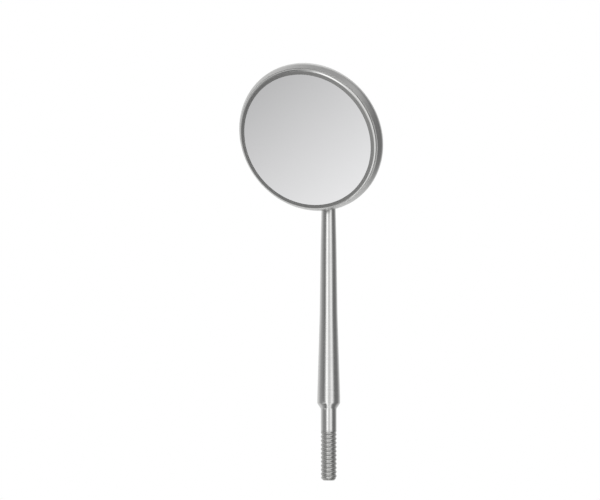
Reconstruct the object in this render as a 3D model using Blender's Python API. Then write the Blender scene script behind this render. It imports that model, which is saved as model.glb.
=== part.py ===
"""Mouth mirror head on a screw-in stem, modelled in metres with +Z along the stem.

The origin is the centre of the flat end of the thread. The stem's axis is Z and the mirror
looks towards -Y and a little down, so the whole part is symmetric about the plane X = 0.
The pieces of the head are children of an empty at the middle of the bezel's front plane.
In that empty's frame +Z is the way the mirror faces, and depths are measured back from it.
"""

import math

import bmesh
import bpy
from mathutils import Matrix, Vector

MM = 0.001

# Place of the head: the middle of the bezel's front plane, and the angle from mirror to stem.
HEAD_FORWARD = 8.77 * MM
HEAD_HEIGHT = 52.88 * MM
HEAD_TILT = math.radians(22.3)

# Back cup: a pressed shell with a flat back, a round corner and a wall that draws in to its mouth.
HEAD_RADIUS = 12.0 * MM
HEAD_DEPTH = 3.6 * MM
WIDEST_DEPTH = 1.64 * MM
CUP_WALL = 0.4 * MM
CUP_FLAT_RADIUS = 9.0 * MM
CUP_BULGE_RADIUS = 0.8 * MM
CUP_FLARE = 30

# Bezel ring: a lip that slopes back from the glass to a round shoulder, and a skirt in the cup.
# Slopes and flares are in degrees.
BEZEL_INNER_RADIUS = 10.62 * MM
BEZEL_OUTER_RADIUS = 11.42 * MM
BEZEL_LIP = 0.12 * MM
BEZEL_NOSE = 0.05 * MM
BEZEL_SLOPE = 27
BEZEL_ROUND = 0.28 * MM
BEZEL_ROUND_DEPTH = 0.53 * MM
BEZEL_FLANGE = 0.6 * MM
BEZEL_THROAT_RADIUS = 10.7 * MM
BEZEL_THROAT_DEPTH = 0.5 * MM
BEZEL_SKIRT_RADIUS = 11.15 * MM
BEZEL_SKIRT_WALL = 0.15 * MM
BEZEL_SKIRT_DEPTH = 1.9 * MM

# Stack inside the head, with one small gap between pieces that touch.
GAP = 0.03 * MM
COATING_THICKNESS = 0.06 * MM
COATING_EDGE = 0.015 * MM
GLASS_RADIUS = 10.78 * MM
GLASS_THICKNESS = 2.0 * MM
GLASS_EDGE = 0.1 * MM
SEAL_FRONT = 0.54 * MM
SEAL_DEPTH = 1.1 * MM

# Stem: radii and heights from the tip of the thread up. The groove's root and mouth are shares
# of the pitch.
TIP_RADIUS = 0.85 * MM
TIP_CHAMFER = 0.42 * MM
THREAD_RADIUS = 1.25 * MM
THREAD_LENGTH = 7.9 * MM
THREAD_PITCH = 0.65 * MM
THREAD_DEPTH = 0.15 * MM
ROOT_SHARE = 0.16
MOUTH_SHARE = 0.84
NECK_RADIUS = 1.24 * MM
NECK_TOP = 11.25 * MM
COLLAR_RADIUS = 1.81 * MM
COLLAR_HEIGHT = 12.12 * MM
COLLAR_TOP = 13.1 * MM
WAIST_RADIUS = 1.415 * MM
WAIST_HEIGHT = 26.2 * MM
TAPER_RADIUS = 1.25 * MM
TAPER_HEIGHT = 37.5 * MM
STEM_END_RADIUS = 1.1 * MM
STEM_END_ROUND = 0.4 * MM

# Bend that lays the stem's end along the back of the cup, and the flat ground on it there.
BEND_RADIUS = 4.0 * MM
BEND_STEPS = 6
END_BELOW_CENTRE = 4.4 * MM
FLAT_DEPTH = 0.28 * MM
FLAT_BELOW_CENTRE = 11.6 * MM

# Weld fillet round the stem's end on the back of the cup.
WELD_WIDTH = 3.5 * MM
WELD_HEIGHT = 0.8 * MM
WELD_LOW = 9.0 * MM
WELD_HIGH = 3.4 * MM
WELD_CORNER = 1.57 * MM
WELD_BEVEL = 0.55 * MM

# Fineness of round shapes, the angle above which an edge stays sharp and the reach of a merge.
HEAD_SEGMENTS = 60
STEM_SEGMENTS = 24
CORNER_STEPS = 8
FLARE_STEPS = 2
ROUND_STEPS = 4
NOSE_STEPS = 3
WELD_CORNER_STEPS = 6
WELD_BEVEL_STEPS = 3
SHARP_ANGLE = math.radians(35)
MERGE_DISTANCE = 1e-7


def clear_scene():
    """Remove every object that the file starts with."""
    for obj in list(bpy.data.objects):
        bpy.data.objects.remove(obj, do_unlink=True)


def make_material(name, colour, roughness, metallic):
    """Make a Principled material from a linear colour."""
    material = bpy.data.materials.new(name)
    material.use_nodes = True
    shader = material.node_tree.nodes["Principled BSDF"]
    shader.inputs["Base Color"].default_value = (*colour, 1.0)
    shader.inputs["Roughness"].default_value = roughness
    shader.inputs["Metallic"].default_value = metallic
    return material


def make_object(name, bm, parent=None, material=None):
    """Turn a bmesh into a named object, shaded smooth but for its sharp edges."""
    bmesh.ops.remove_doubles(bm, verts=bm.verts, dist=MERGE_DISTANCE)
    bmesh.ops.recalc_face_normals(bm, faces=bm.faces)
    mesh = bpy.data.meshes.new(name)
    bm.to_mesh(mesh)
    bm.free()
    mesh.shade_smooth()
    mesh.set_sharp_from_angle(angle=SHARP_ANGLE)
    if material:
        mesh.materials.append(material)
    obj = bpy.data.objects.new(name, mesh)
    bpy.context.scene.collection.objects.link(obj)
    obj.parent = parent
    return obj


def make_cutter(name, bm, parent=None):
    """Make an object that only cuts others, so it is drawn as a wire and never kept."""
    cutter = make_object(name, bm, parent)
    cutter.hide_render = True
    cutter.display_type = "WIRE"
    return cutter


def cut(obj, cutter):
    """Take the cutter's shape out of an object with an exact Boolean."""
    modifier = obj.modifiers.new(cutter.name, "BOOLEAN")
    modifier.operation = "DIFFERENCE"
    modifier.solver = "EXACT"
    modifier.object = cutter


def arc(centre, radii, start, end, steps):
    """Points along an arc of an ellipse in a section's plane, between angles in degrees."""
    points = []
    for step in range(steps + 1):
        angle = math.radians(start + (end - start) * step / steps)
        points.append((centre[0] + radii[0] * math.cos(angle), centre[1] + radii[1] * math.sin(angle)))
    return points


def turned(section, segments, closed=False):
    """Spin a section of (radius, height) points round Z; an open one starts and ends on Z."""
    bm = bmesh.new()
    verts = [bm.verts.new((radius, 0.0, height)) for radius, height in section]
    edges = [bm.edges.new(pair) for pair in zip(verts, verts[1:])]
    if closed:
        edges.append(bm.edges.new((verts[-1], verts[0])))
    bmesh.ops.spin(bm, geom=verts + edges, axis=(0, 0, 1), cent=(0, 0, 0),
                   angle=math.tau, steps=segments, use_merge=True)
    return bm


def disc(radius, front, back, edge):
    """Turn a flat disc between two depths, with its outer edges broken."""
    section = [(0.0, -front), (radius - edge, -front), (radius, -front - edge),
               (radius, -back + edge), (radius - edge, -back), (0.0, -back)]
    return turned(section, HEAD_SEGMENTS)


def ring(inner, outer, front, back):
    """Turn a ring of rectangular section between two depths."""
    section = [(outer, -front), (inner, -front), (inner, -back), (outer, -back)]
    return turned(section, HEAD_SEGMENTS, closed=True)


def make_head_frame():
    """Empty at the middle of the bezel's front plane, with +Z the way the mirror faces."""
    head = bpy.data.objects.new("head_frame", None)
    bpy.context.scene.collection.objects.link(head)
    head.location = (0.0, -HEAD_FORWARD, HEAD_HEIGHT)
    head.rotation_euler = (math.pi / 2 + HEAD_TILT, 0.0, 0.0)
    return head


def make_cup(head, material):
    """Back cup, turned from its round corner, its flaring wall and its inner wall."""
    centre = (CUP_FLAT_RADIUS, -WIDEST_DEPTH)
    corner = (HEAD_RADIUS - CUP_FLAT_RADIUS, HEAD_DEPTH - WIDEST_DEPTH)
    inner_corner = (corner[0] - CUP_WALL, corner[1] - CUP_WALL)
    bulge = (HEAD_RADIUS - CUP_BULGE_RADIUS, -WIDEST_DEPTH)
    mouth = -BEZEL_FLANGE - GAP
    section = [(0.0, -HEAD_DEPTH)]
    section += arc(centre, corner, -90, 0, CORNER_STEPS)
    section += arc(bulge, (CUP_BULGE_RADIUS, CUP_BULGE_RADIUS), CUP_FLARE / 3, CUP_FLARE, FLARE_STEPS)
    radius, height = section[-1]
    section.append((radius - (mouth - height) * math.tan(math.radians(CUP_FLARE)), mouth))
    section.append((BEZEL_SKIRT_RADIUS + GAP, mouth))
    section += arc(centre, inner_corner, 0, -90, CORNER_STEPS)
    section.append((0.0, -HEAD_DEPTH + CUP_WALL))
    return make_object("back_cup", turned(section, HEAD_SEGMENTS), head, material)


def make_bezel(head, material):
    """Bezel ring, turned as one closed section of shoulder, lip, skirt and flange."""
    skirt_inner = BEZEL_SKIRT_RADIUS - BEZEL_SKIRT_WALL
    section = arc((BEZEL_OUTER_RADIUS - BEZEL_ROUND, -BEZEL_ROUND_DEPTH), (BEZEL_ROUND, BEZEL_ROUND),
                  0, 90 - BEZEL_SLOPE, ROUND_STEPS)
    section += arc((BEZEL_INNER_RADIUS + BEZEL_NOSE, -BEZEL_NOSE), (BEZEL_NOSE, BEZEL_NOSE),
                   90, 180, NOSE_STEPS)
    section += [(BEZEL_INNER_RADIUS, -BEZEL_LIP), (BEZEL_THROAT_RADIUS, -BEZEL_LIP),
                (skirt_inner, -BEZEL_THROAT_DEPTH), (skirt_inner, -BEZEL_SKIRT_DEPTH),
                (BEZEL_SKIRT_RADIUS, -BEZEL_SKIRT_DEPTH),
                (BEZEL_SKIRT_RADIUS, -BEZEL_FLANGE), (BEZEL_OUTER_RADIUS, -BEZEL_FLANGE)]
    return make_object("bezel_ring", turned(section, HEAD_SEGMENTS, closed=True), head, material)


def make_stack(head, materials):
    """Coating, glass, seal and adhesive, from the front of the head to the cup's floor."""
    coating_front = BEZEL_LIP + GAP
    coating_back = coating_front + COATING_THICKNESS
    glass_front = coating_back + GAP
    glass_back = glass_front + GLASS_THICKNESS
    bed_front = glass_back + GAP
    bed_back = HEAD_DEPTH - CUP_WALL - GAP
    coating = disc(GLASS_RADIUS - GLASS_EDGE, coating_front, coating_back, COATING_EDGE)
    glass = disc(GLASS_RADIUS, glass_front, glass_back, GLASS_EDGE)
    seal = ring(GLASS_RADIUS + GAP, BEZEL_SKIRT_RADIUS - BEZEL_SKIRT_WALL - GAP,
                SEAL_FRONT, SEAL_FRONT + SEAL_DEPTH)
    bed = disc(CUP_FLAT_RADIUS, bed_front, bed_back, GLASS_EDGE)
    make_object("reflective_coating", coating, head, materials["coating"])
    make_object("mirror_glass", glass, head, materials["glass"])
    make_object("sealing_ring", seal, head, materials["seal"])
    make_object("adhesive_bed", bed, head, materials["adhesive"])


def end_axis_depth():
    """Depth behind the bezel's front plane of the stem's axis once it lies along the cup."""
    return HEAD_DEPTH + GAP + STEM_END_RADIUS - FLAT_DEPTH


def bend_corner():
    """Height on Z where the straight axis and the axis behind the cup would cross."""
    return HEAD_HEIGHT + end_axis_depth() / math.sin(HEAD_TILT) - HEAD_FORWARD / math.tan(HEAD_TILT)


def bend_start():
    """Height at which the stem leaves the Z axis."""
    return bend_corner() - BEND_RADIUS * math.tan(HEAD_TILT / 2)


def straight_length():
    """Length of the stem laid out straight, from the thread's tip to its far end."""
    corner_below_centre = (HEAD_FORWARD * math.sin(HEAD_TILT)
                           + (HEAD_HEIGHT - bend_corner()) * math.cos(HEAD_TILT))
    after_bend = corner_below_centre - END_BELOW_CENTRE - BEND_RADIUS * math.tan(HEAD_TILT / 2)
    return bend_start() + BEND_RADIUS * HEAD_TILT + after_bend


def bend_forward(point):
    """Carry a point of the straight stem round the bend and up the back of the cup."""
    along = point.z - bend_start()
    if along <= 0.0:
        return point
    angle = min(along / BEND_RADIUS, HEAD_TILT)
    beyond = max(along - BEND_RADIUS * HEAD_TILT, 0.0)
    pivot = Vector((0.0, -BEND_RADIUS, bend_start()))
    turn = Matrix.Rotation(angle, 3, "X")
    return pivot + turn @ Vector((point.x, point.y + BEND_RADIUS, beyond))


def stem_section():
    """Turned outline of the stem laid out straight, from the tip to its rounded end."""
    length = straight_length()
    bend_end = bend_start() + BEND_RADIUS * HEAD_TILT
    section = [(0.0, 0.0), (TIP_RADIUS, 0.0), (THREAD_RADIUS, TIP_CHAMFER), (THREAD_RADIUS, THREAD_LENGTH),
               (NECK_RADIUS, THREAD_LENGTH), (NECK_RADIUS, NECK_TOP), (COLLAR_RADIUS, COLLAR_HEIGHT),
               (COLLAR_RADIUS, COLLAR_TOP), (WAIST_RADIUS, WAIST_HEIGHT), (TAPER_RADIUS, TAPER_HEIGHT)]
    for step in range(BEND_STEPS + 1):
        height = bend_start() + (bend_end - bend_start()) * step / BEND_STEPS
        share = (height - TAPER_HEIGHT) / (bend_end - TAPER_HEIGHT)
        section.append((TAPER_RADIUS + (STEM_END_RADIUS - TAPER_RADIUS) * share, height))
    section += arc((STEM_END_RADIUS - STEM_END_ROUND, length - STEM_END_ROUND),
                   (STEM_END_ROUND, STEM_END_ROUND), 0, 90, ROUND_STEPS)
    section.append((0.0, length))
    return section


def make_thread_groove():
    """Helical groove, swept from below the tip to the thread's end, that leaves the thread."""
    root = THREAD_RADIUS - THREAD_DEPTH
    clear = THREAD_RADIUS + 2 * THREAD_DEPTH
    half_root = ROOT_SHARE * THREAD_PITCH / 2
    half_mouth = MOUTH_SHARE * THREAD_PITCH / 2
    start = -THREAD_PITCH - half_mouth
    section = [(root, -half_root), (THREAD_RADIUS, -half_mouth), (clear, -half_mouth),
               (clear, half_mouth), (THREAD_RADIUS, half_mouth), (root, half_root)]
    steps = round((THREAD_LENGTH - half_mouth - start) / THREAD_PITCH * STEM_SEGMENTS)
    bm = bmesh.new()
    verts = [bm.verts.new((radius, 0.0, start + height)) for radius, height in section]
    edges = [bm.edges.new(pair) for pair in zip(verts, verts[1:] + verts[:1])]
    bmesh.ops.spin(bm, geom=verts + edges, axis=(0, 0, 1), cent=(0, 0, 0),
                   angle=math.tau * steps / STEM_SEGMENTS, steps=steps,
                   dvec=(0, 0, THREAD_PITCH / STEM_SEGMENTS))
    bmesh.ops.holes_fill(bm, edges=[edge for edge in bm.edges if edge.is_boundary])
    return make_cutter("thread_groove", bm)


def box(low, high):
    """Box between two corners."""
    bm = bmesh.new()
    bmesh.ops.create_cube(bm, size=1.0)
    size = [top - bottom for bottom, top in zip(low, high)]
    middle = [(top + bottom) / 2 for bottom, top in zip(low, high)]
    bmesh.ops.scale(bm, vec=size, verts=bm.verts)
    bmesh.ops.translate(bm, vec=middle, verts=bm.verts)
    return bm


def make_stem(head, material):
    """Stem in one piece: thread, neck, collar, taper, bend and flattened end."""
    bm = turned(stem_section(), STEM_SEGMENTS)
    for vert in bm.verts:
        vert.co = bend_forward(vert.co)
    stem = make_object("stem", bm, material=material)
    seat = box((-WELD_WIDTH, -FLAT_BELOW_CENTRE, -HEAD_DEPTH - GAP), (WELD_WIDTH, 0.0, 0.0))
    cut(stem, make_cutter("seat_flat", seat, head))
    cut(stem, make_thread_groove())
    return stem


def make_weld(head, material):
    """Weld fillet: a rounded mound on the cup's back, hollowed where the stem's end lies."""
    half = WELD_WIDTH / 2
    bm = box((-half, -WELD_LOW, -HEAD_DEPTH - GAP - WELD_HEIGHT), (half, -WELD_HIGH, -HEAD_DEPTH - GAP))
    corners = [edge for edge in bm.edges if abs(edge.verts[0].co.z - edge.verts[1].co.z) > GAP]
    bmesh.ops.bevel(bm, geom=corners, offset=WELD_CORNER, segments=WELD_CORNER_STEPS, profile=0.5,
                    affect="EDGES", material=-1)
    back = [edge for edge in bm.edges
            if max(vert.co.z for vert in edge.verts) < -HEAD_DEPTH - GAP - WELD_HEIGHT / 2]
    bmesh.ops.bevel(bm, geom=back, offset=WELD_BEVEL, segments=WELD_BEVEL_STEPS, profile=0.5,
                    affect="EDGES", material=-1)
    weld = make_object("weld_fillet", bm, head, material)
    radius = STEM_END_RADIUS + GAP
    length = HEAD_RADIUS
    bore = turned([(0.0, 0.0)] + [(radius, 0.0), (radius, length - STEM_END_ROUND)]
                  + arc((radius - STEM_END_ROUND, length - STEM_END_ROUND),
                        (STEM_END_ROUND, STEM_END_ROUND), 0, 90, ROUND_STEPS)
                  + [(0.0, length)], STEM_SEGMENTS)
    bmesh.ops.rotate(bore, verts=bore.verts, cent=(0, 0, 0), matrix=Matrix.Rotation(-math.pi / 2, 3, "X"))
    bmesh.ops.translate(bore, verts=bore.verts,
                        vec=(0.0, -END_BELOW_CENTRE + GAP - length, -end_axis_depth()))
    cut(weld, make_cutter("weld_bore", bore, head))
    return weld


def main():
    """Build every piece of the mouth mirror."""
    clear_scene()
    polished = make_material("polished_steel", (0.62, 0.62, 0.61), 0.16, 1.0)
    bezel_steel = make_material("bezel_steel", (0.60, 0.60, 0.60), 0.22, 1.0)
    turned_steel = make_material("turned_steel", (0.60, 0.60, 0.59), 0.2, 1.0)
    weld_steel = make_material("weld_steel", (0.50, 0.49, 0.47), 0.4, 1.0)
    stack = {
        "coating": make_material("rhodium_film", (0.74, 0.74, 0.75), 0.03, 1.0),
        "glass": make_material("float_glass", (0.72, 0.82, 0.78), 0.04, 0.0),
        "seal": make_material("seal_rubber", (0.05, 0.05, 0.05), 0.6, 0.0),
        "adhesive": make_material("adhesive", (0.55, 0.53, 0.47), 0.5, 0.0),
    }
    head = make_head_frame()
    make_cup(head, polished)
    make_bezel(head, bezel_steel)
    make_stack(head, stack)
    make_stem(head, turned_steel)
    make_weld(head, weld_steel)


main()
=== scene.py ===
"""Finished look of a dental mouth mirror: a polished steel head on a turned stem with a thread.

The script loads the engineering model as a fixed frame, replaces each of its plain solids with a
finely modelled piece in the same place, dresses every piece in a procedural finish and sets up a
small white studio with the camera.
"""
import logging
import math
from dataclasses import dataclass, field
from enum import Enum

import bmesh
import bpy
from mathutils import Matrix, Vector, noise


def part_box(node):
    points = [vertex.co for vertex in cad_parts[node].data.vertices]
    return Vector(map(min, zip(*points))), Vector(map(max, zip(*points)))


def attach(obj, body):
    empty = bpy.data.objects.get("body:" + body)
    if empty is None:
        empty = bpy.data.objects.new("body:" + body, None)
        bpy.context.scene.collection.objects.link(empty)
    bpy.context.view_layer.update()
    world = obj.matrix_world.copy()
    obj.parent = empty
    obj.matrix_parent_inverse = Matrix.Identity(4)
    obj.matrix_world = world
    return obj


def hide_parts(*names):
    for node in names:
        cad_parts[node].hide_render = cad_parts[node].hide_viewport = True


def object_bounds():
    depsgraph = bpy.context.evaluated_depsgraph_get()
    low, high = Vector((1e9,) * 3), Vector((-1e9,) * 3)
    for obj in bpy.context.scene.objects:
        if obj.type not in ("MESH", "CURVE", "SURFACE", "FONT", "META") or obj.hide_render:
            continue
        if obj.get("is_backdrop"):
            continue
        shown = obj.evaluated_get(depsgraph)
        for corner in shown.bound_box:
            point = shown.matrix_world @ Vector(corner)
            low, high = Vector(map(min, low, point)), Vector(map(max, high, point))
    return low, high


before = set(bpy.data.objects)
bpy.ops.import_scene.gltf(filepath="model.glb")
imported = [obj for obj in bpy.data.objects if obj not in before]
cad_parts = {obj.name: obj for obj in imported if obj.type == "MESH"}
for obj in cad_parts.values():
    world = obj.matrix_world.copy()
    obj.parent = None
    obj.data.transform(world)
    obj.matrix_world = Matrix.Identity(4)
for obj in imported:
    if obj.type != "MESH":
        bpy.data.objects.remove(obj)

log = logging.getLogger("mouth_mirror")

MM = 0.001
BODY = "root"
# Clearance between pieces that touch on the real head.
GAP = 0.03 * MM
CUP_DEPTH = 3.6 * MM
LIP_DEPTH = 0.12 * MM
FILM_THICKNESS = 0.06 * MM
# Depth of the film's middle behind the bezel's front plane.
FILM_DEPTH = LIP_DEPTH + GAP + FILM_THICKNESS / 2
# Noise levels between which a polished surface goes from its sharpest gleam to its dullest.
PATCH_LOW = 0.35
PATCH_HIGH = 0.7
MERGE_DISTANCE = 1e-7
CUT_DISTANCE = 1e-8

Point = tuple[float, float]


class Slot(Enum):
    """Names of material slots, one for each kind of finish; nothing in this script reads them."""

    CUP = "polished_steel"
    BEZEL = "bezel_steel"
    GLASS = "float_glass"
    FILM = "rhodium_film"
    SEAL = "seal_rubber"
    BED = "adhesive"
    STEM = "turned_steel"
    WELD = "weld_steel"


# --------------------------------------------------------------------------------------------
# Small helpers


def srgb(code: str) -> tuple[float, float, float, float]:
    """Turn an sRGB hex colour into a linear colour.

    Args:
        code: Six hex digits, such as "C8C8C6".

    Returns:
        Linear red, green and blue, with an alpha of one.
    """
    channels = [int(code[start:start + 2], 16) / 255 for start in (0, 2, 4)]
    linear = [c / 12.92 if c <= 0.04045 else ((c + 0.055) / 1.055) ** 2.4 for c in channels]
    return (linear[0], linear[1], linear[2], 1.0)


def add_node(tree: bpy.types.NodeTree, kind: str, inputs: dict | None = None,
             **settings: object) -> bpy.types.Node:
    """Add a node with its settings, and fill its inputs.

    Args:
        tree: Node tree that the node goes in.
        kind: Blender's name for the kind of node.
        inputs: Value or output socket for each input, by name or number.
        **settings: Attributes of the node, such as operation.

    Returns:
        The new node.
    """
    node = tree.nodes.new(kind)
    for name, value in settings.items():
        setattr(node, name, value)
    for key, value in (inputs or {}).items():
        if isinstance(value, bpy.types.NodeSocket):
            tree.links.new(value, node.inputs[key])
        else:
            node.inputs[key].default_value = value
    return node


def start_material(name: str) -> tuple[bpy.types.Material, bpy.types.NodeTree, bpy.types.Node,
                                       bpy.types.Node]:
    """Start a material whose patterns read the piece's own coordinates.

    Args:
        name: Name of the material.

    Returns:
        The material, its node tree, its shader and its coordinates.
    """
    material = bpy.data.materials.new(name)
    material.use_nodes = True
    tree = material.node_tree
    return material, tree, tree.nodes["Principled BSDF"], add_node(tree, "ShaderNodeTexCoord")


def arc(centre: Point, radii: Point, start: float, end: float, steps: int) -> list[Point]:
    """Points along an arc of an ellipse in the plane of a turned section.

    Args:
        centre: Radius and height of the arc's centre.
        radii: Half-sizes of the ellipse along radius and height.
        start: First angle in degrees, from the outward direction towards +Z.
        end: Last angle in degrees.
        steps: Number of straight pieces.

    Returns:
        The points, both ends included.
    """
    points = []
    for step in range(steps + 1):
        angle = math.radians(start + (end - start) * step / steps)
        points.append((centre[0] + radii[0] * math.cos(angle), centre[1] + radii[1] * math.sin(angle)))
    return points


def ease(value: float) -> float:
    """Smooth step from 0 to 1, held at both ends."""
    share = min(max(value, 0.0), 1.0)
    return share * share * (3.0 - 2.0 * share)


def turn(section: list[Point], segments: int, closed: bool = False) -> bmesh.types.BMesh:
    """Spin a section round Z, as on a lathe.

    Args:
        section: Points of radius and height. An open section starts and ends on the axis.
        segments: Number of facets round the piece.
        closed: True where the section's last point joins its first, as on a ring.

    Returns:
        A closed bmesh with its normals outwards.
    """
    bm = bmesh.new()
    verts = [bm.verts.new((radius, 0.0, height)) for radius, height in section]
    edges = [bm.edges.new(pair) for pair in zip(verts, verts[1:])]
    if closed:
        edges.append(bm.edges.new((verts[-1], verts[0])))
    bmesh.ops.spin(bm, geom=verts + edges, axis=(0, 0, 1), cent=(0, 0, 0),
                   angle=math.tau, steps=segments, use_merge=True)
    bmesh.ops.remove_doubles(bm, verts=bm.verts, dist=MERGE_DISTANCE)
    bmesh.ops.recalc_face_normals(bm, faces=bm.faces)
    return bm


def finish_piece(name: str, bm: bmesh.types.BMesh, place: Matrix, material: bpy.types.Material,
                 node: str, sharp: float = 32.0) -> bpy.types.Object:
    """Turn a bmesh into a finished piece that rides on the body and stands for a solid.

    Args:
        name: Name of the piece.
        bm: Its shape, which is freed here.
        place: Where the shape's own frame lies in the part's frame.
        material: Its finish.
        node: The engineering solid that the piece replaces.
        sharp: Angle in degrees above which an edge stays crisp.

    Returns:
        The object, at the origin with its place in its mesh.
    """
    bmesh.ops.transform(bm, matrix=place, verts=bm.verts)
    mesh = bpy.data.meshes.new(name)
    bm.to_mesh(mesh)
    bm.free()
    mesh.shade_smooth()
    mesh.set_sharp_from_angle(angle=math.radians(sharp))
    mesh.materials.append(material)
    piece = bpy.data.objects.new(name, mesh)
    bpy.context.scene.collection.objects.link(piece)
    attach(piece, BODY)
    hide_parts(node)
    log.info("%s: %d faces", name, len(mesh.polygons))
    return piece


@dataclass(frozen=True)
class HeadPlace:
    """Where the head stands: the middle of the bezel's front plane and the way it faces."""

    front: Vector
    facing: Vector

    @classmethod
    def from_frame(cls) -> "HeadPlace":
        """Read the head's axis from the middles of two discs that lie across it.

        Returns:
            The head's place in the part's frame.
        """
        film_low, film_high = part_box("reflective_coating")
        bed_low, bed_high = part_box("adhesive_bed")
        film = (film_low + film_high) / 2
        facing = (film - (bed_low + bed_high) / 2).normalized()
        return cls(front=film + facing * FILM_DEPTH, facing=facing)

    @property
    def matrix(self) -> Matrix:
        """Where the head's own frame, with +Z the way it faces, lies in the part's frame.

        Returns:
            The matrix that carries the head's coordinates to the part's.
        """
        across = Vector((1.0, 0.0, 0.0))
        upward = self.facing.cross(across)
        turned = Matrix((across, upward, self.facing)).transposed().to_4x4()
        return Matrix.Translation(self.front) @ turned

    @property
    def tilt(self) -> float:
        """Angle between the mirror's plane and the stem."""
        return math.asin(-self.facing.z)


# --------------------------------------------------------------------------------------------
# Finishes


@dataclass(frozen=True)
class TurnedStainless:
    """Stainless rod, turned and polished: fine lathe lines across the length, a soft gleam."""

    light: str = "C9C9C8"
    dark: str = "B5B5B4"
    roughness: float = 0.17
    spread: float = 0.08
    # Real lathe lines are finer, and would be too fine to show.
    line_pitch: float = 0.09 * MM
    line_length: float = 10.0 / 3.0 * MM
    line_height: float = 0.0006 * MM
    patch_size: float = 4.0 * MM
    groove_radius: float = 1.17 * MM
    groove_blend: float = 0.08 * MM
    thread_top: float = 7.9 * MM
    fade_above: float = 0.1 * MM
    fade_below: float = 0.3 * MM
    crest_share: float = 0.6
    # Colour of the die-cut thread, taken in full at the groove roots as painted shade.
    cut_and_groove_shade_colour: str = "A3A3A1"
    cut_roughness: float = 0.36

    def build(self) -> bpy.types.Material:
        """Make the material.

        Returns:
            The finished material.
        """
        material, tree, shader, place = start_material("turned_stainless")
        # Lathe lines are long round the rod and narrow along it.
        around, along = 1.0 / self.line_length, 1.0 / self.line_pitch
        stretch = add_node(tree, "ShaderNodeMapping", {"Vector": place.outputs["Object"],
                                                       "Scale": (around, around, along)})
        lines = add_node(tree, "ShaderNodeTexNoise", {"Vector": stretch.outputs["Vector"], "Scale": 1.0,
                                                      "Detail": 3.0, "Roughness": 0.6})
        # Polishing leaves broad patches that are a little duller.
        patches = add_node(tree, "ShaderNodeTexNoise", {"Vector": place.outputs["Object"],
                                                        "Scale": 1.0 / self.patch_size, "Detail": 3.0})
        colour = add_node(tree, "ShaderNodeMix", {0: lines.outputs["Fac"], 6: srgb(self.dark),
                                                  7: srgb(self.light)}, data_type="RGBA")
        # The thread is left as the die cut it: duller and darker than the polished rod, most of all in its
        # grooves, where the darker colour is painted shade.
        axes = add_node(tree, "ShaderNodeSeparateXYZ", {"Vector": place.outputs["Object"]})
        flat = add_node(tree, "ShaderNodeCombineXYZ", {"X": axes.outputs["X"], "Y": axes.outputs["Y"]})
        radius = add_node(tree, "ShaderNodeVectorMath", {0: flat.outputs["Vector"]}, operation="LENGTH")
        depth = add_node(tree, "ShaderNodeMapRange",
                         {"Value": radius.outputs["Value"],
                          "From Min": self.groove_radius + self.groove_blend,
                          "From Max": self.groove_radius - self.groove_blend,
                          "To Min": self.crest_share, "To Max": 1.0})
        below = add_node(tree, "ShaderNodeMapRange",
                         {"Value": axes.outputs["Z"], "From Min": self.thread_top + self.fade_above,
                          "From Max": self.thread_top - self.fade_below})
        groove = add_node(tree, "ShaderNodeMath", {0: depth.outputs["Result"], 1: below.outputs["Result"]},
                          operation="MULTIPLY")
        # Painted shade: the colour darkens towards the groove roots.
        cut_and_groove_shaded = add_node(tree, "ShaderNodeMix", {0: groove.outputs["Value"], 6: colour.outputs[2],
                                                  7: srgb(self.cut_and_groove_shade_colour)}, data_type="RGBA")
        dull = add_node(tree, "ShaderNodeMapRange",
                        {"Value": patches.outputs["Fac"], "From Min": PATCH_LOW, "From Max": PATCH_HIGH,
                         "To Min": self.roughness, "To Max": self.roughness + self.spread})
        grooved = add_node(tree, "ShaderNodeMix", {0: groove.outputs["Value"], 2: dull.outputs["Result"],
                                                   3: self.cut_roughness}, data_type="FLOAT")
        bump = add_node(tree, "ShaderNodeBump", {"Height": lines.outputs["Fac"], "Strength": 0.35,
                                                 "Distance": self.line_height})
        tree.links.new(cut_and_groove_shaded.outputs[2], shader.inputs["Base Color"])
        tree.links.new(grooved.outputs[0], shader.inputs["Roughness"])
        tree.links.new(bump.outputs["Normal"], shader.inputs["Normal"])
        shader.inputs["Metallic"].default_value = 1.0
        return material


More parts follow.
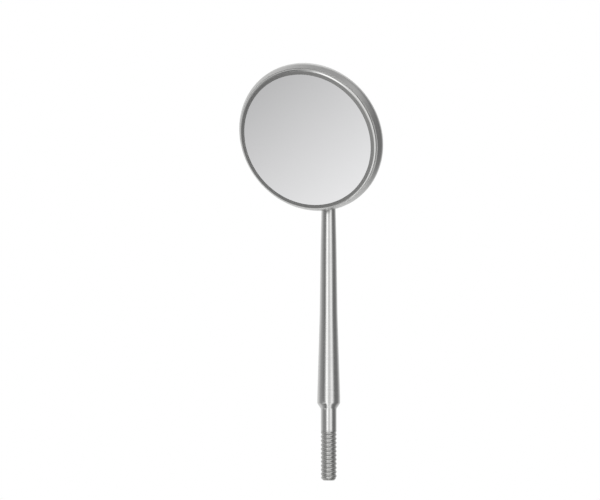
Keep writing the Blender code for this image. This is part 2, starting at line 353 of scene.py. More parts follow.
@dataclass(frozen=True)
class ConcentricSteel:
    """Stainless sheet or ring polished on a spindle: hair-fine circles round the head's axis."""

    name: str
    place: HeadPlace
    light: str = "C6C6C5"
    dark: str = "B4B4B3"
    roughness: float = 0.14
    spread: float = 0.08
    # Real polishing lines are finer, and would be too fine to show.
    line_pitch: float = 0.07 * MM
    line_height: float = 0.0006 * MM
    drift_length: float = 8.0 * MM
    patch_size: float = 5.0 * MM
    satin_radius: float = 0.0
    satin_blend: float = 0.06 * MM
    inner_zone_grey: str = "959594"
    satin_roughness: float = 0.7

    def build(self) -> bpy.types.Material:
        """Make the material, with a satin zone inside satin_radius where one is given.

        Returns:
            The finished material.
        """
        material, tree, shader, world = start_material(self.name)
        local = add_node(tree, "ShaderNodeMapping",
                         {"Vector": world.outputs["Object"], "Location": self.place.front,
                          "Rotation": (math.pi / 2 + self.place.tilt, 0.0, 0.0)}, vector_type="TEXTURE")
        axes = add_node(tree, "ShaderNodeSeparateXYZ", {"Vector": local.outputs["Vector"]})
        flat = add_node(tree, "ShaderNodeCombineXYZ", {"X": axes.outputs["X"], "Y": axes.outputs["Y"]})
        radius = add_node(tree, "ShaderNodeVectorMath", {0: flat.outputs["Vector"]}, operation="LENGTH")
        # The pattern varies fast with radius and depth, and slowly from side to side.
        polar = add_node(tree, "ShaderNodeCombineXYZ", {"X": radius.outputs["Value"],
                                                        "Y": axes.outputs["Z"]})
        scaled = add_node(tree, "ShaderNodeVectorMath", {0: polar.outputs["Vector"],
                                                         3: 1.0 / self.line_pitch}, operation="SCALE")
        drift = add_node(tree, "ShaderNodeMath", {0: axes.outputs["X"], 1: 1.0 / self.drift_length},
                         operation="MULTIPLY")
        swept = add_node(tree, "ShaderNodeCombineXYZ", {"Z": drift.outputs["Value"]})
        circles = add_node(tree, "ShaderNodeVectorMath", {0: scaled.outputs["Vector"],
                                                          1: swept.outputs["Vector"]}, operation="ADD")
        lines = add_node(tree, "ShaderNodeTexNoise", {"Vector": circles.outputs["Vector"], "Scale": 1.0,
                                                      "Detail": 3.0, "Roughness": 0.55})
        patches = add_node(tree, "ShaderNodeTexNoise", {"Vector": local.outputs["Vector"],
                                                        "Scale": 1.0 / self.patch_size, "Detail": 4.0})
        colour = add_node(tree, "ShaderNodeMix", {0: lines.outputs["Fac"], 6: srgb(self.dark),
                                                  7: srgb(self.light)}, data_type="RGBA")
        dull = add_node(tree, "ShaderNodeMapRange",
                        {"Value": patches.outputs["Fac"], "From Min": PATCH_LOW, "From Max": PATCH_HIGH,
                         "To Min": self.roughness, "To Max": self.roughness + self.spread})
        # Inside satin_radius the steel is rougher and a darker grey.
        satin = add_node(tree, "ShaderNodeMapRange",
                         {"Value": radius.outputs["Value"],
                          "From Min": self.satin_radius + self.satin_blend,
                          "From Max": self.satin_radius - self.satin_blend})
        shade = add_node(tree, "ShaderNodeMix", {0: satin.outputs["Result"], 6: colour.outputs[2],
                                                 7: srgb(self.inner_zone_grey)}, data_type="RGBA")
        rough = add_node(tree, "ShaderNodeMix", {0: satin.outputs["Result"], 2: dull.outputs["Result"],
                                                 3: self.satin_roughness}, data_type="FLOAT")
        bump = add_node(tree, "ShaderNodeBump", {"Height": lines.outputs["Fac"], "Strength": 0.3,
                                                 "Distance": self.line_height})
        tree.links.new(shade.outputs[2], shader.inputs["Base Color"])
        tree.links.new(rough.outputs[0], shader.inputs["Roughness"])
        tree.links.new(bump.outputs["Normal"], shader.inputs["Normal"])
        shader.inputs["Metallic"].default_value = 1.0
        return material


@dataclass(frozen=True)
class RhodiumFilm:
    """Rhodium film on the front of the glass: a cool, nearly white and very sharp mirror."""

    colour: str = "E2E2E3"
    haze: float = 0.015
    wiped_haze: float = 0.06
    wipe_size: float = 6.0 * MM

    def build(self) -> bpy.types.Material:
        """Make the material.

        Returns:
            The finished material.
        """
        material, tree, shader, place = start_material("rhodium_film")
        # Wiping leaves a faint haze in soft patches a few millimetres wide.
        wipe = add_node(tree, "ShaderNodeTexNoise", {"Vector": place.outputs["Object"],
                                                     "Scale": 1.0 / self.wipe_size, "Detail": 4.0})
        haze = add_node(tree, "ShaderNodeMapRange",
                        {"Value": wipe.outputs["Fac"], "From Min": 0.4, "From Max": 0.75,
                         "To Min": self.haze, "To Max": self.wiped_haze})
        tree.links.new(haze.outputs["Result"], shader.inputs["Roughness"])
        shader.inputs["Base Color"].default_value = srgb(self.colour)
        shader.inputs["Metallic"].default_value = 1.0
        return material


@dataclass(frozen=True)
class FloatGlass:
    """Clear float glass: a green cast through the plate and a ground edge."""

    tint: str = "D8EDE4"
    ior: float = 1.52
    grind_size: float = 0.3 * MM
    smoothest: float = 0.02
    roughest: float = 0.12

    def build(self) -> bpy.types.Material:
        """Make the material.

        Returns:
            The finished material.
        """
        material, tree, shader, place = start_material("float_glass")
        grind = add_node(tree, "ShaderNodeTexNoise", {"Vector": place.outputs["Object"],
                                                      "Scale": 1.0 / self.grind_size, "Detail": 3.0})
        rough = add_node(tree, "ShaderNodeMapRange", {"Value": grind.outputs["Fac"],
                                                      "To Min": self.smoothest, "To Max": self.roughest})
        tree.links.new(rough.outputs["Result"], shader.inputs["Roughness"])
        shader.inputs["Base Color"].default_value = srgb(self.tint)
        shader.inputs["Transmission Weight"].default_value = 1.0
        shader.inputs["IOR"].default_value = self.ior
        return material


@dataclass(frozen=True)
class MouldedFill:
    """Silicone or epoxy inside the head: matt, with a fine moulded or cast grain."""

    name: str
    light: str
    dark: str
    roughness: float
    spread: float = 0.08
    grain: float = 0.25 * MM
    grain_height: float = 0.01 * MM

    def build(self) -> bpy.types.Material:
        """Make the material.

        Returns:
            The finished material.
        """
        material, tree, shader, place = start_material(self.name)
        grain = add_node(tree, "ShaderNodeTexNoise", {"Vector": place.outputs["Object"],
                                                      "Scale": 1.0 / self.grain, "Detail": 4.0})
        colour = add_node(tree, "ShaderNodeMix", {0: grain.outputs["Fac"], 6: srgb(self.dark),
                                                  7: srgb(self.light)}, data_type="RGBA")
        rough = add_node(tree, "ShaderNodeMapRange", {"Value": grain.outputs["Fac"],
                                                      "To Min": self.roughness - self.spread,
                                                      "To Max": self.roughness + self.spread})
        bump = add_node(tree, "ShaderNodeBump", {"Height": grain.outputs["Fac"], "Strength": 0.3,
                                                 "Distance": self.grain_height})
        tree.links.new(colour.outputs[2], shader.inputs["Base Color"])
        tree.links.new(rough.outputs["Result"], shader.inputs["Roughness"])
        tree.links.new(bump.outputs["Normal"], shader.inputs["Normal"])
        return material


@dataclass(frozen=True)
class LaserWeld:
    """Stainless weld bead, brushed clean: satin, with faint straw-coloured patches of heat tint."""

    steel: str = "B4B3B0"
    heat_tint: str = "B8A98C"
    most_tint: float = 0.6
    tint_size: float = 0.8 * MM
    grit_size: float = 0.06 * MM
    grit_height: float = 0.006 * MM
    smoothest: float = 0.28
    roughest: float = 0.5

    def build(self) -> bpy.types.Material:
        """Make the material.

        Returns:
            The finished material.
        """
        material, tree, shader, place = start_material("laser_weld")
        blotch = add_node(tree, "ShaderNodeTexNoise", {"Vector": place.outputs["Object"],
                                                       "Scale": 1.0 / self.tint_size, "Detail": 4.0})
        tint = add_node(tree, "ShaderNodeMapRange", {"Value": blotch.outputs["Fac"], "From Min": 0.5,
                                                     "From Max": 0.75, "To Max": self.most_tint})
        colour = add_node(tree, "ShaderNodeMix", {0: tint.outputs["Result"], 6: srgb(self.steel),
                                                  7: srgb(self.heat_tint)}, data_type="RGBA")
        grit = add_node(tree, "ShaderNodeTexNoise", {"Vector": place.outputs["Object"],
                                                     "Scale": 1.0 / self.grit_size, "Detail": 3.0})
        rough = add_node(tree, "ShaderNodeMapRange", {"Value": grit.outputs["Fac"],
                                                      "To Min": self.smoothest, "To Max": self.roughest})
        bump = add_node(tree, "ShaderNodeBump", {"Height": grit.outputs["Fac"], "Strength": 0.4,
                                                 "Distance": self.grit_height})
        tree.links.new(colour.outputs[2], shader.inputs["Base Color"])
        tree.links.new(rough.outputs["Result"], shader.inputs["Roughness"])
        tree.links.new(bump.outputs["Normal"], shader.inputs["Normal"])
        shader.inputs["Metallic"].default_value = 1.0
        return material


# --------------------------------------------------------------------------------------------
# The head


@dataclass
class MirrorHead:
    """The round head: cup, bezel, film, glass, seal and adhesive, turned round its own axis.

    Depths are measured back from the bezel's front plane, so they are negative heights in the
    head's frame.
    """

    place: HeadPlace
    segments: int = 192
    depth: float = CUP_DEPTH
    widest_depth: float = 1.64 * MM
    wall: float = 0.4 * MM
    flat_radius: float = 9.0 * MM
    bulge_radius: float = 0.8 * MM
    flare: float = 30
    lip: float = LIP_DEPTH
    lip_nose: float = 0.05 * MM
    lip_slope: float = 27
    shoulder: float = 0.28 * MM
    shoulder_depth: float = 0.53 * MM
    flange: float = 0.6 * MM
    inner_radius: float = 10.62 * MM
    outer_radius: float = 11.42 * MM
    throat_radius: float = 10.7 * MM
    throat_depth: float = 0.5 * MM
    skirt_radius: float = 11.15 * MM
    skirt_wall: float = 0.15 * MM
    skirt_depth: float = 1.9 * MM
    gap: float = GAP
    film_thickness: float = FILM_THICKNESS
    glass_thickness: float = 2.0 * MM
    seal_front: float = 0.54 * MM
    seal_depth: float = 1.1 * MM
    edge: float = 0.1 * MM
    # Rings on the cup's floor, as shares of its flat radius, keep it truly flat.
    floor_rings: tuple[float, ...] = (0.0, 0.5, 0.98)
    # A ring this many edge radii inside a disc keeps its faces truly flat, so the mirror is plane.
    edge_inset: float = 1.2
    corner_steps: int = 24
    inner_steps: int = 16
    bulge_steps: int = 5
    wall_steps: int = 4
    shoulder_steps: int = 10
    nose_steps: int = 6
    edge_steps: int = 5
    seal_sides: int = 24

    def radius_of(self, node: str) -> float:
        """Half the width of a round solid."""
        low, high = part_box(node)
        return (high.x - low.x) / 2

    def build(self) -> None:
        """Build and dress the six pieces of the head."""
        self.build_cup()
        self.build_bezel()
        self.build_stack()

    def build_cup(self) -> None:
        """Deep-drawn cup with a soft corner and a wall that draws in to its mouth."""
        outer = self.radius_of("back_cup")
        centre = (self.flat_radius, -self.widest_depth)
        corner = (outer - self.flat_radius, self.depth - self.widest_depth)
        inner = (corner[0] - self.wall, corner[1] - self.wall)
        bulge = (outer - self.bulge_radius, -self.widest_depth)
        mouth = -self.flange - self.gap
        floor = [(self.flat_radius * share, -self.depth) for share in self.floor_rings]
        section = floor + arc(centre, corner, -90, 0, self.corner_steps)
        first = self.flare / (self.bulge_steps + 1)
        section += arc(bulge, (self.bulge_radius, self.bulge_radius), first, self.flare,
                       self.bulge_steps)
        radius, height = section[-1]
        lean = math.tan(math.radians(self.flare))
        for step in range(1, self.wall_steps + 1):
            rise = (mouth - height) * step / self.wall_steps
            section.append((radius - rise * lean, height + rise))
        section.append((self.skirt_radius + self.gap, mouth))
        section += arc(centre, inner, 0, -90, self.inner_steps)
        section.append((0.0, -self.depth + self.wall))
        finish = ConcentricSteel("polished_stainless", self.place, roughness=0.3)
        finish_piece("cup_shell", turn(section, self.segments), self.place.matrix, finish.build(),
                     "back_cup")

    def build_bezel(self) -> None:
        """Bezel ring with a satin lip, a burnished shoulder and a skirt inside the cup."""
        skirt_inner = self.skirt_radius - self.skirt_wall
        section = arc((self.outer_radius - self.shoulder, -self.shoulder_depth),
                      (self.shoulder, self.shoulder), 0, 90 - self.lip_slope, self.shoulder_steps)
        section += arc((self.inner_radius + self.lip_nose, -self.lip_nose),
                       (self.lip_nose, self.lip_nose), 90, 180, self.nose_steps)
        section += [(self.inner_radius, -self.lip), (self.throat_radius, -self.lip),
                    (skirt_inner, -self.throat_depth), (skirt_inner, -self.skirt_depth),
                    (self.skirt_radius, -self.skirt_depth),
                    (self.skirt_radius, -self.flange), (self.outer_radius, -self.flange)]
        finish = ConcentricSteel("bezel_stainless", self.place, light="CFCFCE", dark="BDBDBC",
                                 roughness=0.12, satin_radius=self.outer_radius - self.shoulder)
        finish_piece("bezel", turn(section, self.segments, closed=True), self.place.matrix,
                     finish.build(), "bezel_ring")

    def disc(self, radius: float, front: float, back: float, edge: float) -> bmesh.types.BMesh:
        """Turn a disc with its edges ground round.

        Args:
            radius: Outer radius.
            front: Depth of its front face.
            back: Depth of its back face.
            edge: Radius of its rounded edges.

        Returns:
            The disc in the head's frame.
        """
        flat = radius - self.edge_inset * edge
        section = [(0.0, -front), (flat, -front)]
        section += arc((radius - edge, -front - edge), (edge, edge), 90, 0, self.edge_steps)
        section += arc((radius - edge, -back + edge), (edge, edge), 0, -90, self.edge_steps)
        section += [(flat, -back), (0.0, -back)]
        return turn(section, self.segments)

    def build_stack(self) -> None:
        """Film, glass, seal and adhesive bed, from the front to the cup's floor."""
        film_front = self.lip + self.gap
        film_back = film_front + self.film_thickness
        glass_front = film_back + self.gap
        glass_back = glass_front + self.glass_thickness
        film = self.disc(self.radius_of("reflective_coating"), film_front, film_back,
                         self.film_thickness / 4)
        finish_piece("mirror_film", film, self.place.matrix, RhodiumFilm().build(),
                     "reflective_coating")
        glass_radius = self.radius_of("mirror_glass")
        glass = self.disc(glass_radius, glass_front, glass_back, self.edge)
        finish_piece("glass_plate", glass, self.place.matrix, FloatGlass().build(),
                     "mirror_glass")
        seal_outer = self.skirt_radius - self.skirt_wall - self.gap
        seal_inner = glass_radius + self.gap
        middle = ((seal_outer + seal_inner) / 2, -self.seal_front - self.seal_depth / 2)
        last = 360 - 360 / self.seal_sides
        section = arc(middle, ((seal_outer - seal_inner) / 2, self.seal_depth / 2), 0, last,
                      self.seal_sides - 1)
        rubber = MouldedFill("silicone_rubber", "2A2A2B", "151516", 0.6)
        finish_piece("rubber_seal", turn(section, self.segments, closed=True), self.place.matrix,
                     rubber.build(), "sealing_ring")
        bed = self.disc(self.flat_radius, glass_back + self.gap, self.depth - self.wall - self.gap,
                        self.edge)
        epoxy = MouldedFill("cast_epoxy", "CFC8B4", "B7AE96", 0.45)
        finish_piece("epoxy_bed", bed, self.place.matrix, epoxy.build(), "adhesive_bed")


# --------------------------------------------------------------------------------------------
# The stem


@dataclass
class ThreadedStem:
    """The stem: a helical thread, neck, collar and long taper, bent to lie along the cup."""

    place: HeadPlace
    segments: int = 96
    tip_radius: float = 0.85 * MM
    tip_chamfer: float = 0.42 * MM
    thread_radius: float = 1.25 * MM
    thread_length: float = 7.9 * MM
    pitch: float = 0.65 * MM
    thread_depth: float = 0.15 * MM
    form_steps: int = 12
    spare_turns: int = 3
    seam_merge: float = 0.002 * MM
    # Length, in pitches, over which the groove runs out into the neck.
    groove_run_out: float = 0.9
    neck_radius: float = 1.24 * MM
    neck_top: float = 11.25 * MM
    collar_radius: float = 1.81 * MM
    collar_height: float = 12.12 * MM
    collar_top: float = 13.1 * MM
    waist_radius: float = 1.415 * MM
    waist_height: float = 26.2 * MM
    taper_radius: float = 1.25 * MM
    taper_height: float = 37.5 * MM
    end_radius: float = 1.1 * MM
    end_round: float = 0.4 * MM
    end_steps: int = 8
    soft_edge: float = 0.1 * MM
    bend_radius: float = 4.0 * MM
    end_below_centre: float = 4.4 * MM
    ring_spacing: float = 0.3 * MM
    flat_depth: float = 0.28 * MM
    flat_below_centre: float = 10.7 * MM
    flat_run_out: float = 1.6 * MM
    flat_rise: float = 0.7 * MM
    weld_low: float = 9.0 * MM
    weld_reach: float = 0.55 * MM
    weld_rise: float = 0.75 * MM
    weld_root: float = 0.05 * MM
    weld_lean: float = 0.32 * MM
    weld_fade: float = 0.5 * MM
    weld_end_size: float = 0.3
    pulse: float = 0.32 * MM
    pulse_steps: int = 6
    pulse_height: float = 0.09
    wander: float = 0.08
    seat_depth: float = CUP_DEPTH + GAP
    bend_start: float = field(init=False)
    bend_length: float = field(init=False)
    length: float = field(init=False)

    def __post_init__(self) -> None:
        """Work out where the axis bends and how long the straightened stem is."""
        tilt = self.place.tilt
        axis_depth = self.seat_depth + self.end_radius - self.flat_depth
        forward = -self.place.front.y
        height = self.place.front.z
        corner = height + axis_depth / math.sin(tilt) - forward / math.tan(tilt)
        self.bend_start = corner - self.bend_radius * math.tan(tilt / 2)
        self.bend_length = self.bend_radius * tilt
        below = forward * math.sin(tilt) + (height - corner) * math.cos(tilt)
        after = below - self.end_below_centre - self.bend_radius * math.tan(tilt / 2)
        self.length = self.bend_start + self.bend_length + after

    def bend(self, point: Vector) -> Vector:
        """Carry a point of the straight stem round the bend and up the back of the cup.

        Args:
            point: The point with the stem laid out straight.

        Returns:
            The point on the bent stem.
        """
        along = point.z - self.bend_start
        if along <= 0.0:
            return point.copy()
        angle = min(along / self.bend_radius, self.place.tilt)
        beyond = max(along - self.bend_length, 0.0)
        pivot = Vector((0.0, -self.bend_radius, self.bend_start))
        swing = Matrix.Rotation(angle, 3, "X")
        return pivot + swing @ Vector((point.x, point.y + self.bend_radius, beyond))

    def thread_skin(self) -> bmesh.types.BMesh:
        """Sweep one pitch of thread form up a helix and trim it square at both ends.

        Returns:
            An open tube from the tip's plane to the neck.
        """
        half = self.thread_depth / 2
        form = []
        for step in range(self.form_steps + 1):
            turned_by = math.tau * step / self.form_steps
            form.append((self.thread_radius - half + half * math.cos(turned_by),
                         self.pitch * (step / self.form_steps - 0.5)))
        # The helix starts below the tip and ends above the thread, and is then cut square.
        turns = math.ceil(self.thread_length / self.pitch) + self.spare_turns
        bm = bmesh.new()
        start = -self.spare_turns / 2 * self.pitch
        verts = [bm.verts.new((radius, 0.0, start + height)) for radius, height in form]
        edges = [bm.edges.new(pair) for pair in zip(verts, verts[1:])]
        bmesh.ops.spin(bm, geom=verts + edges, axis=(0, 0, 1), cent=(0, 0, 0),
                       angle=math.tau * turns, steps=self.segments * turns,
                       dvec=(0, 0, self.pitch / self.segments))
        bmesh.ops.remove_doubles(bm, verts=bm.verts, dist=self.seam_merge)
        for height, clear_above in ((0.0, False), (self.thread_length, True)):
            bmesh.ops.bisect_plane(bm, geom=bm.verts[:] + bm.edges[:] + bm.faces[:], dist=CUT_DISTANCE,
                                   plane_co=(0, 0, height), plane_no=(0, 0, 1),
                                   clear_inner=not clear_above, clear_outer=clear_above)
        return bm

    def shape_thread(self, bm: bmesh.types.BMesh) -> None:
        """Chamfer the tip and let the groove run out into the slightly slimmer neck.

        Args:
            bm: The thread's skin, which is changed in place.
        """
        run_out = self.groove_run_out * self.pitch
        slope = (self.thread_radius - self.tip_radius) / self.tip_chamfer
        for vert in bm.verts:
            radius = math.hypot(vert.co.x, vert.co.y)
            fade = ease((vert.co.z - self.thread_length + run_out) / run_out)
            target = radius + (self.neck_radius - radius) * fade
            target = min(target, self.tip_radius + slope * vert.co.z)
            vert.co.x *= target / radius
            vert.co.y *= target / radius

    def outline(self) -> list[Point]:
        """Outline the stem above the thread, with the stem laid out straight.

        Returns:
            Radius and height of each ring, from the thread to the rounded end.
        """
        soft = self.soft_edge
        slope = (self.collar_radius - self.neck_radius) / (self.collar_height - self.neck_top)
        straight = self.bend_start + self.bend_length
        knots = [(self.neck_radius, self.thread_length), (self.neck_radius, self.neck_top - soft),
                 (self.neck_radius + soft * slope / 4, self.neck_top),
                 (self.neck_radius + soft * slope, self.neck_top + soft),
                 (self.collar_radius - soft * slope, self.collar_height - soft),
                 (self.collar_radius - soft * slope / 4, self.collar_height),
                 (self.collar_radius, self.collar_height + soft), (self.collar_radius, self.collar_top),
                 (self.waist_radius, self.waist_height), (self.taper_radius, self.taper_height),
                 (self.end_radius, straight), (self.end_radius, self.length - self.end_round)]
        points = []
        for (low_radius, low), (high_radius, high) in zip(knots, knots[1:]):
            steps = max(1, round((high - low) / self.ring_spacing))
            for step in range(1, steps + 1):
                share = step / steps
                points.append((low_radius + (high_radius - low_radius) * share, low + (high - low) * share))
        end = arc((self.end_radius - self.end_round, self.length - self.end_round),
                  (self.end_round, self.end_round), 0, 90, self.end_steps)
        return points + end[1:]

    def build_stem(self) -> None:
        """Turn the whole stem as one skin, bend it and flatten its seat on the cup."""
        bm = self.thread_skin()
        self.shape_thread(bm)
        rims = [edge for edge in bm.edges if edge.is_boundary]
        top = [edge for edge in rims if edge.verts[0].co.z > self.thread_length / 2]
        bottom = [edge for edge in rims if edge.verts[0].co.z < self.thread_length / 2]
        bmesh.ops.holes_fill(bm, edges=bottom)
        last_radius = self.neck_radius
        last_height = self.thread_length
        for radius, height in self.outline():
            grown = bmesh.ops.extrude_edge_only(bm, edges=top)["geom"]
            ring = [item for item in grown if isinstance(item, bmesh.types.BMVert)]
            top = [item for item in grown if isinstance(item, bmesh.types.BMEdge) and item.is_boundary]
            bmesh.ops.scale(bm, vec=(radius / last_radius, radius / last_radius, 1.0), verts=ring)
            bmesh.ops.translate(bm, vec=(0.0, 0.0, height - last_height), verts=ring)
            last_radius, last_height = radius, height
        bmesh.ops.holes_fill(bm, edges=top)
        to_head = self.place.matrix.inverted()
        for vert in bm.verts:
            vert.co = self.bend(vert.co)
            seat = to_head @ vert.co
            # The flat fades out of the rod's front as it leaves the cup.
            fade = ease((-seat.y - self.flat_below_centre) / self.flat_run_out)
            ceiling = self.flat_rise * fade - self.seat_depth
            if seat.y > -self.flat_below_centre - self.flat_run_out and seat.z > ceiling:
                seat.z = ceiling
                vert.co = self.place.matrix @ seat
        bmesh.ops.recalc_face_normals(bm, faces=bm.faces)
        finish_piece("threaded_stem", bm, Matrix.Identity(4), TurnedStainless().build(), "stem",
                     sharp=28.0)

    def weld_path(self) -> list[tuple[Vector, Vector, float]]:
        """Follow the bead up one side of the rod's end, round it and down the other side.

        Returns:
            For each station, the bead's root on the cup, the way the bead spreads and its size,
            where 1 is the plain full bead.
        """
        plate = -self.seat_depth
        side = math.sqrt(self.end_radius ** 2 - (self.end_radius - self.flat_depth) ** 2)
        straight = self.weld_low - self.end_below_centre - side
        around = math.pi * (side + self.weld_reach / 2)
        total = 2 * straight + around
        stations = round(total / (self.pulse / self.pulse_steps))
        path = []
        for station in range(stations + 1):
            run = total * station / stations
            if run < straight:
                base, out = Vector((side, -self.weld_low + run, plate)), Vector((1, 0, 0))
            elif run < straight + around:
                turned_by = math.pi * (run - straight) / around
                out = Vector((math.cos(turned_by), math.sin(turned_by), 0))
                base = Vector((0, -self.end_below_centre - side, plate)) + out * side
            else:
                base, out = Vector((-side, -self.weld_low + total - run, plate)), Vector((-1, 0, 0))
            pulses = self.pulse_height * abs(math.sin(math.pi * run / self.pulse))
            ripple = 1.0 + pulses + self.wander * noise.noise(base / self.pulse / 2)
            fade = ease(min(run, total - run) / self.weld_fade)
            path.append((base, out, ripple * (fade * (1.0 - self.weld_end_size) + self.weld_end_size)))
        return path

    def build_weld(self) -> None:
        """Fillet bead in overlapping pulses round the stem's end, down both of its sides."""
        lift = self.end_radius - self.flat_depth
        bm = bmesh.new()
        rings = []
        for base, out, size in self.weld_path():
            wide, tall = self.weld_reach * size, self.weld_rise * size
            # The bead leans out along the rod's round sides and stands against its flat end.
            lean = self.weld_lean * size * out.x ** 2
            profile = [(-self.weld_root, 0.0), (wide, 0.0), (0.72 * wide, 0.16 * tall),
                       (0.5 * wide, 0.42 * tall), (lean, 0.8 * tall),
                       (0.9 * lean, min(lift, tall)), (0.0, 0.5 * tall)]
            loop = [bm.verts.new(base + out * across - Vector((0, 0, up))) for across, up in profile]
            rings.append([bm.edges.new(pair) for pair in zip(loop, loop[1:] + loop[:1])])
        for first, second in zip(rings, rings[1:]):
            bmesh.ops.bridge_loops(bm, edges=first + second)
        bmesh.ops.holes_fill(bm, edges=[edge for edge in bm.edges if edge.is_boundary])
        bmesh.ops.recalc_face_normals(bm, faces=bm.faces)
        finish_piece("weld_bead", bm, self.place.matrix, LaserWeld().build(), "weld_fillet",
                     sharp=60.0)

    def build(self) -> None:
        """Build and dress the stem and the bead that joins it to the cup."""
        self.build_stem()
        self.build_weld()


# --------------------------------------------------------------------------------------------
# The studio


@dataclass(frozen=True)
class Panel:
    """Upright panel of light that stands round the object, with a soft edge on both sides."""

    azimuth: float
    half_width: float
    softness: float
    level: float


@dataclass
class Studio:
    """White studio: a pale floor, a surround of light panels between dark flags, and the camera.

    A panel's azimuth is in degrees round from the camera, positive to its right.
    """

    place: HeadPlace
    azimuth: float = 23.6
    elevation: float = -3.5
    distance: float = 400.0 * MM
    sideways: float = -4.527 * MM
    aim_height: float = 36.33 * MM
    lens: float = 151.6
    sensor_width: float = 36.0
    clip_start: float = 0.01
    clip_end: float = 20.0
    floor_drop: float = 35.0 * MM
    floor_radius: float = 360.0 * MM
    # The paper fades out between these shares of its radius.
    fade_start: float = 0.6
    fade_end: float = 0.97
    fibre_size: float = 3.0 * MM
    paper_roughness: float = 0.9
    paper_glow: float = 0.4
    flag_level: float = 0.27
    window: Panel = Panel(azimuth=6, half_width=44, softness=12, level=0.79)
    left_strip: Panel = Panel(azimuth=-20, half_width=8, softness=7, level=0.95)
    right_strip: Panel = Panel(azimuth=31, half_width=8, softness=8, level=0.55)
    left_fill: Panel = Panel(azimuth=-100, half_width=25, softness=20, level=0.2)
    back_wall: Panel = Panel(azimuth=185, half_width=53, softness=38, level=0.75)
    # The ceiling closes in between these heights of the unit vector towards it.
    ceiling_start: float = 0.5
    ceiling_end: float = 0.85
    ceiling_level: float = 0.55
    overhead_azimuth: float = 10.0
    overhead_elevation: float = 78.0
    overhead_distance: float = 0.9
    overhead_size: Point = (0.8, 0.6)
    overhead_radiance: float = 1.1
    overhead_aim: tuple[float, float, float] = (0.0, -4.0 * MM, 40.0 * MM)
    card_distance: float = 160.0 * MM
    card_size: float = 110.0 * MM
    # The card gets lighter this way across its face: mostly downwards, and a little sideways.
    card_run: tuple[float, float, float] = (0.3, -0.93, 0.0)
    card_start: float = -25.0 * MM
    card_end: float = 22.0 * MM
    card_dark: float = 0.5
    card_bright: float = 1.15

    def towards(self, azimuth: float, elevation: float) -> Vector:
        """Find a direction from the object.

        Args:
            azimuth: Degrees round from the camera, positive to its right.
            elevation: Degrees above the horizon.

        Returns:
            The unit vector that way.
        """
        around, above = math.radians(self.azimuth + azimuth), math.radians(elevation)
        return Vector((math.sin(around) * math.cos(above), -math.cos(around) * math.cos(above),
                       math.sin(above)))

    def build_camera(self) -> None:
        """Camera a little below the mirror, looking slightly up at it."""
        back = self.towards(0.0, self.elevation)
        around = math.radians(self.azimuth)
        right = Vector((math.cos(around), math.sin(around), 0.0))
        target = Vector((0.0, 0.0, self.aim_height)) + right * self.sideways
        data = bpy.data.cameras.new("camera")
        data.lens = self.lens
        data.sensor_width = self.sensor_width
        data.clip_start = self.clip_start
        data.clip_end = self.clip_end
        camera = bpy.data.objects.new("camera", data)
        camera.location = target + back * self.distance
        camera.rotation_mode = "QUATERNION"
        camera.rotation_quaternion = (-back).to_track_quat("-Z", "Y")
        bpy.context.scene.collection.objects.link(camera)
        bpy.context.scene.camera = camera

    def build_world(self) -> None:
        """White behind the object, and a calm surround for it to reflect."""
        world = bpy.data.worlds.new("studio")
        bpy.context.scene.world = world
        world.use_nodes = True
        tree = world.node_tree
        tree.nodes.clear()
        direction = add_node(tree, "ShaderNodeTexCoord")
        axes = add_node(tree, "ShaderNodeSeparateXYZ", {"Vector": direction.outputs["Generated"]})
        level_with = add_node(tree, "ShaderNodeCombineXYZ", {"X": axes.outputs["X"], "Y": axes.outputs["Y"]})
        heading = add_node(tree, "ShaderNodeVectorMath", {0: level_with.outputs["Vector"]},
                           operation="NORMALIZE")
        total = add_node(tree, "ShaderNodeMath", {0: self.flag_level, 1: 0.0}, operation="ADD")
        for panel in (self.window, self.left_strip, self.right_strip, self.left_fill, self.back_wall):
            if panel is self.back_wall:
                # The ceiling ends the panels in front, and only the wall behind shows through it.
                above = add_node(tree, "ShaderNodeMapRange",
                                 {"Value": axes.outputs["Z"], "From Min": self.ceiling_start,
                                  "From Max": self.ceiling_end},
                                 interpolation_type="SMOOTHSTEP")
                total = add_node(tree, "ShaderNodeMix", {0: above.outputs["Result"], 2: total.outputs[0],
                                                         3: self.ceiling_level}, data_type="FLOAT")
            cosine = add_node(tree, "ShaderNodeVectorMath",
                              {0: heading.outputs["Vector"], 1: self.towards(panel.azimuth, 0.0)},
                              operation="DOT_PRODUCT")
            outer = math.cos(math.radians(panel.half_width + panel.softness))
            inner = math.cos(math.radians(max(panel.half_width - panel.softness, 0.0)))
            share = add_node(tree, "ShaderNodeMapRange",
                             {"Value": cosine.outputs["Value"], "From Min": outer, "From Max": inner},
                             interpolation_type="SMOOTHSTEP")
            total = add_node(tree, "ShaderNodeMath", {0: share.outputs["Result"], 1: panel.level,
                                                      2: total.outputs[0]}, operation="MULTIPLY_ADD")
        room = add_node(tree, "ShaderNodeBackground", {"Color": (1, 1, 1, 1), "Strength": total.outputs[0]})
        white = add_node(tree, "ShaderNodeBackground", {"Color": (1, 1, 1, 1), "Strength": 1.0})
        path = add_node(tree, "ShaderNodeLightPath")
        mix = add_node(tree, "ShaderNodeMixShader", {0: path.outputs["Is Camera Ray"], 1: room.outputs[0],
                                                     2: white.outputs[0]})
        add_node(tree, "ShaderNodeOutputWorld", {"Surface": mix.outputs[0]})

    def build_overhead(self) -> None:
        """A large soft box overhead for the paper, which the polished metal doesn't mirror."""
        back = self.towards(self.overhead_azimuth, self.overhead_elevation)
        data = bpy.data.lights.new("overhead", "AREA")
        data.shape = "RECTANGLE"
        data.size, data.size_y = self.overhead_size
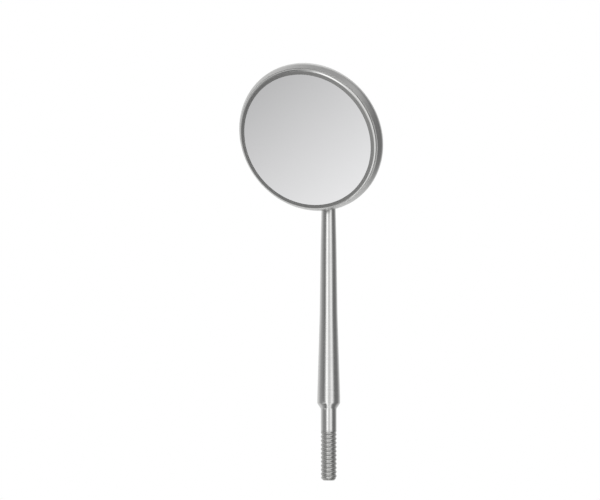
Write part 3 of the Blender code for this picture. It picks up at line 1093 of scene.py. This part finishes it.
        # An area light of this power has a face as bright as its radiance, where 1 is white.
        data.energy = self.overhead_radiance * math.pi * data.size * data.size_y
        light = bpy.data.objects.new("overhead", data)
        light.location = Vector(self.overhead_aim) + back * self.overhead_distance
        light.rotation_mode = "QUATERNION"
        light.rotation_quaternion = back.to_track_quat("Z", "Y")
        light.visible_camera = False
        light.visible_glossy = False
        bpy.context.scene.collection.objects.link(light)

    def build_floor(self) -> None:
        """Plain pale paper under the object, fading into the white all round."""
        bm = bmesh.new()
        bmesh.ops.create_circle(bm, cap_ends=True, radius=self.floor_radius, segments=96)
        bmesh.ops.translate(bm, vec=(0.0, 0.0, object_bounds()[0].z - self.floor_drop), verts=bm.verts)
        mesh = bpy.data.meshes.new("floor")
        bm.to_mesh(mesh)
        bm.free()
        material, tree, shader, place = start_material("studio_paper")
        # Paper fibres show as a very faint mottle.
        fibre = add_node(tree, "ShaderNodeTexNoise", {"Vector": place.outputs["Object"],
                                                      "Scale": 1.0 / self.fibre_size, "Detail": 4.0})
        paper = add_node(tree, "ShaderNodeMix", {0: fibre.outputs["Fac"], 6: srgb("EFEFEF"),
                                                 7: srgb("F4F4F4")}, data_type="RGBA")
        shader.inputs["Roughness"].default_value = self.paper_roughness
        shader.inputs["Emission Strength"].default_value = self.paper_glow
        tree.links.new(paper.outputs[2], shader.inputs["Base Color"])
        tree.links.new(paper.outputs[2], shader.inputs["Emission Color"])
        reach = add_node(tree, "ShaderNodeVectorMath", {0: place.outputs["Object"]}, operation="LENGTH")
        fade = add_node(tree, "ShaderNodeMapRange", {"Value": reach.outputs["Value"],
                                                     "From Min": self.fade_start * self.floor_radius,
                                                     "From Max": self.fade_end * self.floor_radius},
                        interpolation_type="SMOOTHSTEP")
        clear = add_node(tree, "ShaderNodeBsdfTransparent")
        blend = add_node(tree, "ShaderNodeMixShader", {0: fade.outputs["Result"], 1: shader.outputs[0],
                                                       2: clear.outputs[0]})
        tree.links.new(blend.outputs[0], tree.nodes["Material Output"].inputs["Surface"])
        mesh.materials.append(material)
        floor = bpy.data.objects.new("floor", mesh)
        floor.visible_glossy = False
        bpy.context.scene.collection.objects.link(floor)
        floor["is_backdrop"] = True

    def build_card(self) -> None:
        """Graduated grey card that stands where the camera finds it in the mirror."""
        to_camera = (bpy.context.scene.camera.location - self.place.front).normalized()
        away = 2 * to_camera.dot(self.place.facing) * self.place.facing - to_camera
        side = Vector((0.0, 0.0, 1.0)).cross(away).normalized()
        bm = bmesh.new()
        bmesh.ops.create_grid(bm, x_segments=1, y_segments=1, size=self.card_size / 2)
        mesh = bpy.data.meshes.new("bounce_card")
        bm.to_mesh(mesh)
        bm.free()
        material = bpy.data.materials.new("graduated_card")
        material.use_nodes = True
        tree = material.node_tree
        tree.nodes.clear()
        place = add_node(tree, "ShaderNodeTexCoord")
        run = add_node(tree, "ShaderNodeVectorMath", {0: place.outputs["Object"], 1: self.card_run},
                       operation="DOT_PRODUCT")
        tone = add_node(tree, "ShaderNodeMapRange",
                        {"Value": run.outputs["Value"], "From Min": self.card_start,
                         "From Max": self.card_end, "To Min": self.card_dark, "To Max": self.card_bright})
        glow = add_node(tree, "ShaderNodeEmission", {"Strength": tone.outputs["Result"]})
        add_node(tree, "ShaderNodeOutputMaterial", {"Surface": glow.outputs["Emission"]})
        mesh.materials.append(material)
        card = bpy.data.objects.new("bounce_card", mesh)
        turn_card = Matrix((side, away.cross(side), away)).transposed().to_4x4()
        card.matrix_world = Matrix.Translation(self.place.front + away * self.card_distance) @ turn_card
        card.visible_camera = False
        bpy.context.scene.collection.objects.link(card)
        card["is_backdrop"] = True

    def build(self) -> None:
        """Set up the camera, the surround, the overhead light, the floor and the card."""
        bpy.context.scene.view_settings.view_transform = "Standard"
        self.build_camera()
        self.build_world()
        self.build_overhead()
        self.build_floor()
        self.build_card()


def main() -> None:
    """Build the head, the stem and the studio round the loaded frame."""
    logging.basicConfig(level=logging.INFO, format="%(message)s")
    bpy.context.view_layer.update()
    place = HeadPlace.from_frame()
    MirrorHead(place).build()
    ThreadedStem(place).build()
    Studio(place).build()


if __name__ == "__main__":
    main()
